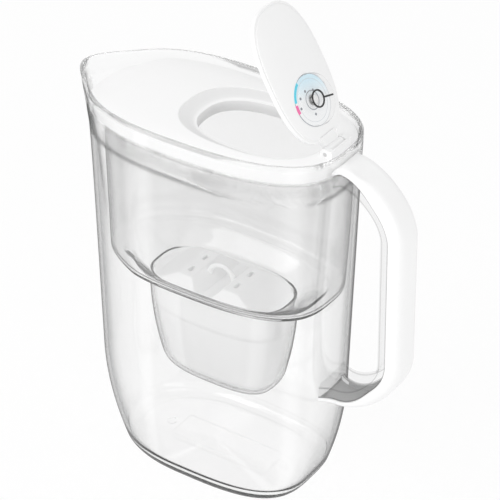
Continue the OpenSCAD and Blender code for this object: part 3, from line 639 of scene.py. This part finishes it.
def rounded(corners, radius, steps=7):
    """An outline past corner points, each rounded by a parabola that leaves the sides where an arc of
    the corner's radius would touch them."""
    corners = np.asarray(corners, float)
    out = []
    for i, corner in enumerate(corners):
        before, after = corners[i - 1] - corner, corners[(i + 1) % len(corners)] - corner
        r = radius[i]
        before, after = before / np.linalg.norm(before), after / np.linalg.norm(after)
        half = math.acos(np.clip(before @ after, -1, 1)) / 2
        cut = r / math.tan(half)
        t = np.linspace(0, 1, steps)[:, None]
        start, stop = corner + before * cut, corner + after * cut
        out.append((1 - t) ** 2 * start + 2 * t * (1 - t) * corner + t ** 2 * stop)
    return np.concatenate(out)


def thumb_dimple(points, d):
    """A shallow oval hollow on top of the handle, near the jug: a smooth step over the distance from
    its middle, for the outer points alone."""
    far = np.hypot((points[..., 0] - DIMPLE_X) / DIMPLE_HALF_L, (points[..., 1] - DIMPLE_Y) / DIMPLE_HALF_W)
    low = DIMPLE_DEPTH * ease((1.15 - far) / 0.75) * (d > SEAM_R + 6)
    out = points.copy()
    out[..., 2] -= low
    return out


def handle_pieces():
    """The white grip, a channel over the back and sides, and the clear core inside and under it."""
    w, c, r = GRIP_HALF_W, GRIP_HALF_W - GRIP_WALL, GRIP_OUT_R
    tip = r - GRIP_WALL - 1.2
    outline = rounded([(SEAM_R, -c), (SEAM_R, -w), (r, -w), (r, w),
                       (SEAM_R, w), (SEAM_R, c), (tip, c), (tip, -c)],
                      [0.3, 0.7, 6.5, 6.5, 0.7, 0.3, 0.5, 0.5])
    grip = skin("handle_grip_shell", along_handle(outline, hollow=thumb_dimple), crease=50)
    b = GRIP_HALF_W - 0.6
    seam, inner, tongue = SEAM_R - 0.1, c - 0.1, tip - 0.3
    outline = rounded([(CORE_IN_R, -b), (seam, -b), (seam, -inner), (tongue, -inner), (tongue, inner),
                       (seam, inner), (seam, b), (CORE_IN_R, b)],
                      [2.2, 0.4, 0.2, 0.4, 0.4, 0.2, 0.4, 2.2])
    rings = along_handle(outline, overlap=CORE_OVERLAP)
    core = skin("handle_clear_core", rings, crease=50)
    note(core, "from_bend", np.broadcast_to(outline[:, 0], rings.shape[:2]))
    return grip, core


# ---- hopper ----

def hopper_shell():
    """The hopper's wall as one profile carried round and joined to itself: from the outlet up the
    cup's outside, out along the shoulder, up to the flange, and back down the inside."""
    a = around(224)
    w, corner, back = HOPPER_WALL, HOPPER_CORNER, POUR_GAP + JUG_WALL
    cup_lip_h, shoulder_h = 79.0, 81.0

    def walls(z, side_in, front_in):
        side_in, front_in = np.asarray(side_in, float)[:, None], np.asarray(front_in, float)[:, None]
        return stack(body_r, a, z, mix(side_in, front_in, ahead(a)[None, :]))

    def cup_wall(w, rising):
        h = np.concatenate([CUP_ROUND * (1 - np.cos(arc(13, 90, 14))), between(CUP_ROUND, cup_lip_h, 24)])
        rings = cup_rings(a, CUP_Z + w + h, w, CUP_Z + w)
        return rings if rising else rings[::-1]

    def shoulder(w, rising):
        """From the cup's mouth out to the body's wall, concave at the cup and round at the wall."""
        t = np.linspace(0, 1, 18)[1:-1, None, None]
        inner = cup_rings(a, [CUP_Z + w + shoulder_h], w, CUP_Z + w)
        outer = walls([HOPPER_Z + w + 0.4], [HOPPER_IN + w + corner + 2], [back + w + corner + 2])
        rings = mix(inner, outer, t)
        rings[..., 2] = mix(inner[..., 2], outer[..., 2], ease(t[..., 0]) * 0.45 + 0.55 * t[..., 0])
        q = arc(78, 0, 8)
        bend = walls(HOPPER_Z + w + corner * (1 - np.sin(q)), HOPPER_IN + w + corner * (1 - np.cos(q)),
                     back + w + corner * (1 - np.cos(q)))
        rings = np.concatenate([inner, rings, bend])
        return rings if rising else rings[::-1]

    up = np.linspace(0, 1, 24)[1:]
    top, low = HOPPER_TOP_Z, HOPPER_TOP_Z - FLANGE_T
    z = mix(HOPPER_Z + corner + w, low, up)
    side = np.interp(z, [HOPPER_Z, HOPPER_MID_Z, top], [HOPPER_IN, HOPPER_MID_IN, HOPPER_TOP_IN])
    front = np.full(len(z), back)
    edge, mouth = FLANGE_IN, HOPPER_TOP_IN + w
    flange = walls([low + 0.3, low, low + 0.3, top - 0.5, top, top],
                   [edge + 1.0, edge + 0.4, edge, edge, edge + 0.5, mouth - 0.5],
                   [back, back, back, back, back + 0.5, back + w - 0.5])
    lip = walls([top - 0.5], [mouth], [back + w])
    hole = oval_rings(a, [CUP_Z + 0.1], CUP_X, OUTLET_R, OUTLET_R, 2.0)
    hole_in = oval_rings(a, [CUP_Z + w + 0.1], CUP_X, OUTLET_R, OUTLET_R, 2.0)
    rings = [hole, cup_wall(0.0, True), shoulder(0.0, True), walls(z, side, front), flange, lip,
             walls(z[::-1], side[::-1] + w, front + w), shoulder(w, False), cup_wall(w, False), hole_in]
    return skin("hopper_shell", np.concatenate(rings), loop=True)


# ---- cartridge ----

def cartridge_shell():
    """The boat-shaped body in the cup's own form, drawn out inside the band and closed under the cap."""
    a = around(160, 0)
    h = np.concatenate([CUP_ROUND * (1 - np.cos(arc(4, 90, 14))),
                        between(CUP_ROUND, BAND_Z - 1.6 - CART_Z, 16)])
    body = cup_rings(a, CART_Z + h, CART_IN, CART_Z)
    skirt = cup_rings(a, [BAND_Z - 1.2], CART_IN, CUP_Z)
    top = cup_rings(a, [CAP_Z - CAP_T - 0.3, CAP_Z - CAP_T], BAND_IN + 0.6, CUP_Z)
    return skin("cartridge_shell", np.concatenate([body, skirt, top]))


def cartridge_band():
    """The band that the cap and the body are welded in: the cup's outline at each height, as a ring
    with an outer and an inner wall."""
    a = around(160, 0)
    z = np.array([BAND_Z - 0.6, BAND_Z - 0.6, BAND_Z, BAND_Z + 4, CAP_Z - 4, CAP_Z - 0.8])
    g = np.array([CART_IN + 0.2, BAND_IN + 0.3, BAND_IN, BAND_IN, BAND_IN, BAND_IN])
    rings = np.concatenate([cup_rings(a, [v], i, CUP_Z) for v, i in zip(z, g)])
    inside = np.concatenate([cup_rings(a, [v], BAND_IN + BAND_WALL, CUP_Z)
                             for v in (CAP_Z - 0.8, BAND_Z + 1)])
    return skin("cartridge_band", np.concatenate([rings, inside]), loop=True)


def ridge_height(x, y):
    """Height of the cap's ridges over its edge: for each ridge the lowest of its top and four
    sloped sides, with softened meetings, less the inlet slots."""
    height = np.zeros_like(x)
    for mid, start, stop in RIDGES:
        rise = RIDGE_H + 0.5
        left = rise * (x - start) / (mid - RIDGE_HALF_L - start)
        right = rise * (stop - x) / (stop - mid - RIDGE_HALF_L)
        ends = rise * (RIDGE_FOOT_W - np.abs(y)) / (RIDGE_FOOT_W - RIDGE_HALF_W)
        sides = np.stack([left, right, ends, np.full_like(x, rise)])
        soft = -RIDGE_SOFT * np.log(np.exp(-sides / RIDGE_SOFT).sum(0)) - 0.5
        for slot_y in (-SLOT_Y, SLOT_Y):
            inside = ease((SLOT_W / 2 + SLOT_EDGE / 2 - np.abs(x - mid)) / SLOT_EDGE)
            inside = inside * ease((SLOT_L / 2 + SLOT_EDGE / 2 - np.abs(y - slot_y)) / SLOT_EDGE)
            soft = soft - SLOT_DEPTH * inside
        height = np.maximum(height, soft)
    return height


def cartridge_lid():
    """The white cap: a rounded edge, then the edge's outline shrunk to the middle in even steps, with
    the ridges' height over each point."""
    a = around(360, 0)
    length, width = (float(v) for v in cup_sizes(CUP_TOP_H, BAND_IN))
    edge = oval_rings(a, [CAP_Z - CAP_T, CAP_Z - 0.7, CAP_Z - 0.2], CUP_X,
                      length - np.array([0, 0, 0.2]), width - np.array([0, 0, 0.2]), CUP_N)
    share = np.linspace(1, 0.004, 170)[:, None]
    r = oval_r(a, length - 0.7, length - 0.7, width - 0.7, CUP_N, CUP_N)
    x, y = CUP_X + share * r * np.cos(a), share * r * np.sin(a)
    top = np.stack([x, y, CAP_Z + ridge_height(x, y)], -1)
    return skin("cartridge_lid", np.concatenate([edge, top]), crease=60)


def cartridge_pull():
    """The arched pull loop: a round wire bent over, thicker where it joins the ridges by the fourth
    power of the turn's cosine."""
    turn = arc(-8, 188, 48)[:, None]
    around_wire = 2 * np.pi * np.arange(20) / 20
    wire = WIRE_R + WIRE_ROOT * np.cos(turn) ** 4
    r = LOOP_R + wire * np.cos(around_wire)
    y = np.broadcast_to(-wire * np.sin(around_wire), r.shape)
    return skin("cartridge_pull", np.stack([LOOP_X + r * np.cos(turn), y, LOOP_Z + r * np.sin(turn)], -1))


# ---- lid ----

def dip(x):
    """How far the lid has dipped at x, in a smooth step towards the spout."""
    return LID_DIP * ease((-DIP_START - x) / DIP_RUN)


def lid_edge(a, z, g, most=JUG_H):
    """Edge ring of the lid for a plate at height z that dips in front: the jug's inside at the edge's
    own height, cut shorter at the spout's tip."""
    h = np.minimum(z - dip(body_r(a, z, g) * np.cos(a)), most)
    r = np.minimum(jug_r(a, h, g), body_r(a, h, g) + LID_NOSE)
    x = r * np.cos(a)
    return np.stack([x, r * np.sin(a), np.minimum(z - dip(x), most)], -1)


def oval_edge(a, x, length, width):
    """The plan of a superellipse about x, for the fill opening and its recess."""
    r = oval_r(a, length, length, width, MOUTH_N, MOUTH_N)
    return np.stack([x + r * np.cos(a), r * np.sin(a)], -1)


def at_height(plan, z):
    """A ring from its plan and a height, or a height for each of its points."""
    return np.concatenate([plan, np.broadcast_to(z, plan.shape[:1])[:, None]], -1)[None]


def lid_shell():
    """The lid as one profile carried round and joined to itself: up the skirt, over the soft edge and
    the slightly crowned plate, down the recess and the collar, and back along the underside."""
    a = around(288)
    z, r, drop = LID_TOP_Z, LID_EDGE_R, LID_EDGE_DROP

    def skirt(g):
        return lid_edge(a, z - LID_T - 2.4, g, SKIRT_Z)[None]

    def edge(g, down):
        return lid_edge(a, z - down, g)[None]

    def mouth(g):
        return oval_edge(a, MOUTH_X, MOUTH_L - g, MOUTH_W - g)

    def seat(g):
        return oval_edge(a, SEAT_X, SEAT_L - g, SEAT_W - g)

    def plate(t, down):
        """A ring a share t of the way from the edge to the mouth, with a parabola as its crown."""
        plan = mix(lid_edge(a, z, LID_IN + r)[:, :2], mouth(0.0), t)
        return at_height(plan, z - down - LID_CROWN * (1 - t) ** 2 - dip(plan[:, 0]))

    rings = [skirt(LID_IN), edge(LID_IN, drop)]
    rings += [edge(LID_IN + r * (1 - math.cos(q)), drop - 0.8 * math.sin(q)) for q in arc(20, 90, 4)]
    rings += [plate(t, 0.0) for t in np.linspace(0, 1, 34)[1:-1]]
    rings += [at_height(mouth(g), z - d) for g, d in ((0.0, 0.0), (0.35, 0.1), (0.6, 0.35))]
    slope = len(rings)
    rings += [at_height(mix(mouth(0.7), seat(-0.3), t), mix(z - 0.6, SEAT_Z + 0.4, t))
              for t in np.linspace(0, 1, 8)]
    collar = len(rings) + 4
    hole, low = HOLE_IN, SEAT_Z - LID_T
    rings += [at_height(seat(g), h) for g, h in (
        (0.2, SEAT_Z + 0.1), (0.5, SEAT_Z), (hole - 0.5, SEAT_Z), (hole - 0.1, SEAT_Z - 0.2),
        (hole, SEAT_Z - 0.7), (hole + 0.3, 268), (hole + 0.6, COLLAR_Z + 0.4), (hole + 0.4, COLLAR_Z),
        (hole - 0.8, COLLAR_Z), (hole - 1.0, COLLAR_Z + 0.4), (hole - 1.5, low - 0.6), (hole - 1.8, low),
        (-1.6, low + 0.2))]
    rings += [at_height(mouth(-1.8), z - LID_T - 0.4)]
    rings += [plate(t, LID_T + 0.3) for t in np.linspace(1, 0, 12)[2:-1]]
    rings += [edge(LID_IN + SKIRT_T + 0.4, LID_T + 2), skirt(LID_IN + SKIRT_T)]
    rings = np.concatenate(rings)
    lid = skin("lid_shell", rings, loop=True)
    # Painted shade down the recess's slope, and at the hole's edge and down the collar's wall
    shade = np.zeros(len(rings))
    shade[slope - 1:slope + 8] = [0.2, 0.4, 0.5, 0.5, 0.5, 0.5, 0.45, 0.4, 0.1]
    shade[collar:collar + 3] = [0.6, 1.0, 1.0]
    note(lid, "recess", np.repeat(shade[:, None], rings.shape[1], 1))
    return lid


# ---- flap and dial ----

def crown_z(x, y):
    """Height of the closed flap's outer face: a dome that falls with a power of the superelliptic
    distance from its middle, so that it is flattest there."""
    r = (np.abs((x - FLAP_X) / FLAP_L) ** FLAP_N + np.abs(y / FLAP_W) ** FLAP_N) ** (1 / FLAP_N)
    return FLAP_CROWN_Z - CROWN_DROP * np.clip(r, 0, 1) ** CROWN_N


def flap_cover():
    """The flap's outer shell: its underside, a rolled rim, the crowned face and the dial's round seat."""
    a = around(240, 0)
    wall, low_r, edge_r = FLAP_RIM_T, FLAP_LOW_R, FLAP_EDGE_R
    low, rim = FLAP_LOW_Z, FLAP_RIM_Z

    def outline(g, z):
        r = oval_r(a, FLAP_L - g, FLAP_L - g, FLAP_W - g, FLAP_N, FLAP_N)
        return at_height(np.stack([FLAP_X + r * np.cos(a), r * np.sin(a)], -1), z)

    rings = [outline(20, FLAP_IN_Z), outline(wall, FLAP_IN_Z), outline(wall, low + 0.3),
             outline(wall - 0.3, low), outline(low_r, low)]
    rings += [outline(low_r * (1 - math.sin(q)), low + low_r * (1 - math.cos(q))) for q in arc(20, 90, 5)]
    rings += [outline(0, rim - 0.4)]
    rings += [outline(edge_r * (1 - math.cos(q)), rim - 0.4 + edge_r * math.sin(q))
              for q in arc(20, 100, 6)]
    rings += [outline(1.25, rim + 0.28), outline(1.6, rim + 0.3)]
    edge = outline(2.0, 0)[0][:, :2]
    seat = np.stack([DIAL_X + (DIAL_R + 0.4) * np.cos(a), (DIAL_R + 0.4) * np.sin(a)], -1)
    for t in np.linspace(0, 1, 44):
        plan = mix(edge, seat, t)
        rings.append(at_height(plan, crown_z(plan[:, 0], plan[:, 1])))
    middle = np.array([DIAL_X, 0.0])
    rings += [at_height(mix(seat, middle, t), DIAL_SEAT_Z + rise) for t, rise in ((0.02, 0.2), (0.04, 0.0))]
    return skin("flap_cover", opened(np.concatenate(rings)), crease=50)


def dial_disc():
    """The printed scale: a flat ring with slightly broken outer edges."""
    z, r = DIAL_SEAT_Z + 0.02, DIAL_R - 0.1
    profile = [(SCALE_HOLE_R, z), (r - 0.2, z), (r, z + 0.1), (r, z + SCALE_T - 0.1),
               (r - 0.1, z + SCALE_T), (SCALE_HOLE_R, z + SCALE_T)]
    rings = lathe(profile, DIAL_X)
    disc = skin("dial_disc", opened(rings), loop=True)
    note(disc, "dial_across", rings[..., 0] - DIAL_X)
    note(disc, "dial_along", rings[..., 1])
    return disc


def dial_cap():
    """The clear knob: a thick disc with a rounded upper edge, hollow round the spindle's head."""
    low = DIAL_SEAT_Z + KNOB_LIFT
    top = low + DIAL_H
    head = DIAL_SEAT_Z + RIVET_LIFT
    profile = [(KNOB_HOLE_R, low), (DIAL_R - 0.4, low), (DIAL_R, low + 0.4), (DIAL_R, low + 0.8)]
    profile += [(DIAL_R - DIAL_ROUND * (1 - math.cos(q)) - 0.3, top - DIAL_ROUND + DIAL_ROUND * math.sin(q))
                for q in arc(0, 90, 8)]
    profile += [(0.05, top), (0.05, head + RIVET_T), (RIVET_R, head + RIVET_T), (RIVET_R, head - 0.3),
                (KNOB_HOLE_R, head - 0.3)]
    return skin("dial_cap", opened(lathe(profile, DIAL_X)), loop=True, crease=30)


# ---- camera, floor and light ----

def view_camera():
    """The photograph's viewpoint: 33.7 degrees towards the spout's near side and 34.1 degrees up."""
    across, along = math.cos(VIEW_TURN), math.sin(VIEW_TURN)
    right = np.array([across, along, 0.0])
    back = np.array([along * math.cos(VIEW_RISE), -across * math.cos(VIEW_RISE), math.sin(VIEW_RISE)])
    up = np.cross(back, right)
    place = (VIEW_RIGHT * right + VIEW_UP * up + VIEW_BACK * back) * MM
    data = bpy.data.cameras.new("view")
    data.sensor_width, data.lens = SENSOR, SENSOR * VIEW_FOCAL / PHOTO_WIDTH
    data.clip_start, data.clip_end = 0.05, 20.0
    camera = bpy.data.objects.new("view", data)
    bpy.context.scene.collection.objects.link(camera)
    axes = np.stack([right, up, back], 1)
    camera.matrix_world = mathutils.Matrix([[*row, p] for row, p in zip(axes, place)] + [[0, 0, 0, 1]])
    bpy.context.scene.camera = camera


def seen_directly(tree):
    """A value that is 1 for rays from the camera and for rays that clear or shiny pieces send on."""
    path = tree.nodes.new("ShaderNodeLightPath")
    value = path.outputs["Is Camera Ray"]
    for name in ("Is Glossy Ray", "Is Transmission Ray"):
        most = tree.nodes.new("ShaderNodeMath")
        most.operation = "MAXIMUM"
        tree.links.new(value, most.inputs[0])
        tree.links.new(path.outputs[name], most.inputs[1])
        value = most.outputs["Value"]
    return value


def studio():
    """A pale floor that shows white with the object's faint shadow, a white surround, and soft lamps."""
    scene = bpy.context.scene
    scene.view_settings.view_transform = "Standard"
    world = bpy.data.worlds.new("studio")
    world.use_nodes = True
    scene.world = world
    tree = world.node_tree
    both = tree.nodes.new("ShaderNodeMixShader")
    tree.links.new(seen_directly(tree), both.inputs[0])
    grounds = (tree.nodes["Background"], SURROUND_LIGHT), (tree.nodes.new("ShaderNodeBackground"), 1.0)
    for target, (ground, strength) in zip(both.inputs[1:], grounds):
        ground.inputs["Color"].default_value = (1, 1, 1, 1)
        ground.inputs["Strength"].default_value = strength
        tree.links.new(ground.outputs[0], target)
    tree.links.new(both.outputs[0], tree.nodes["World Output"].inputs["Surface"])

    mesh = bpy.data.meshes.new("floor")
    corners = [(x * GROUND_HALF, y * GROUND_HALF, GROUND_Z) for x, y in ((-1, -1), (1, -1), (1, 1), (-1, 1))]
    mesh.from_pydata(corners, [], [(0, 1, 2, 3)])
    floor = bpy.data.objects.new("floor", mesh)
    scene.collection.objects.link(floor)
    f = Finish("pale_floor")
    f.link(f.ramp(f.noise(3.0), [(0.3, 0.93), (0.7, 0.95)]), f.shader.inputs["Base Color"])
    f.set(Roughness=0.9)
    glow = f.add("ShaderNodeEmission", {"Color": (1, 1, 1, 1), "Strength": 1.0})
    f.surface(f.shaders(f.math("MULTIPLY", seen_directly(f.tree), GROUND_GLOW), f.shader, glow))
    mesh.materials.append(f.material)

    for name, place, watts in LAMPS:
        lamp = bpy.data.lights.new(name, "AREA")
        lamp.size, lamp.energy = LAMP_SIZE, watts
        thing = bpy.data.objects.new(name, lamp)
        scene.collection.objects.link(thing)
        thing.location = place
        aim = mathutils.Vector(np.array(LAMP_AIM) - np.array(place))
        thing.rotation_mode = "QUATERNION"
        thing.rotation_quaternion = aim.to_track_quat("-Z", "Y")


# ---- building ----

view_camera()
dress(jug_shell(), "jug", "clear_plastic", CLEAR, "jug_body")
handle_grip, handle_core = handle_pieces()
dress(handle_grip, "jug", "white_plastic", WHITE, "handle_grip")
dress(handle_core, "jug", "clear_plastic", CORE_CLEAR, "handle_core")
dress(hopper_shell(), "hopper_unit", "clear_plastic", HOPPER_CLEAR, "hopper")
dress(cartridge_shell(), "cartridge", "white_soft", CARTRIDGE_WHITE, "cartridge_body")
dress(cartridge_band(), "cartridge", "white_soft", WHITE_SOFT)
dress(cartridge_lid(), "cartridge", "white_soft", WHITE_SOFT, "cartridge_cap")
dress(cartridge_pull(), "cartridge", "white_plastic", WHITE, "cartridge_loop")
dress(lid_shell(), "lid", "white_plastic", LID_WHITE, "lid_plate")
dress(flap_cover(), "flap", "white_plastic", WHITE, "flap_shell")
dress(dial_disc(), "flap", "scale_print", DIAL_PRINT, "dial_scale")
dress(dial_cap(), "dial", "clear_plastic", KNOB_CLEAR, "dial_knob")

CARRIED_OVER = {
    "outlet_grommet": PALE_RUBBER, "cartridge_screen": FLEECE, "cartridge_media": CARBON,
    "cartridge_outlet_mesh": FLEECE, "cartridge_nozzle": WHITE_SOFT, "lid_clips": WHITE,
    "hinge_bracket": WHITE, "hinge_pin": STEEL, "flap_liner": WHITE, "flap_knuckle": WHITE,
    "flap_screws": STEEL, "dial_spindle": WHITE, "dial_washer": STEEL, "dial_pointer": BLACK_PRINT,
}
for node, material in CARRIED_OVER.items():
    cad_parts[node].data.materials.clear()
    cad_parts[node].data.materials.append(material)

studio()
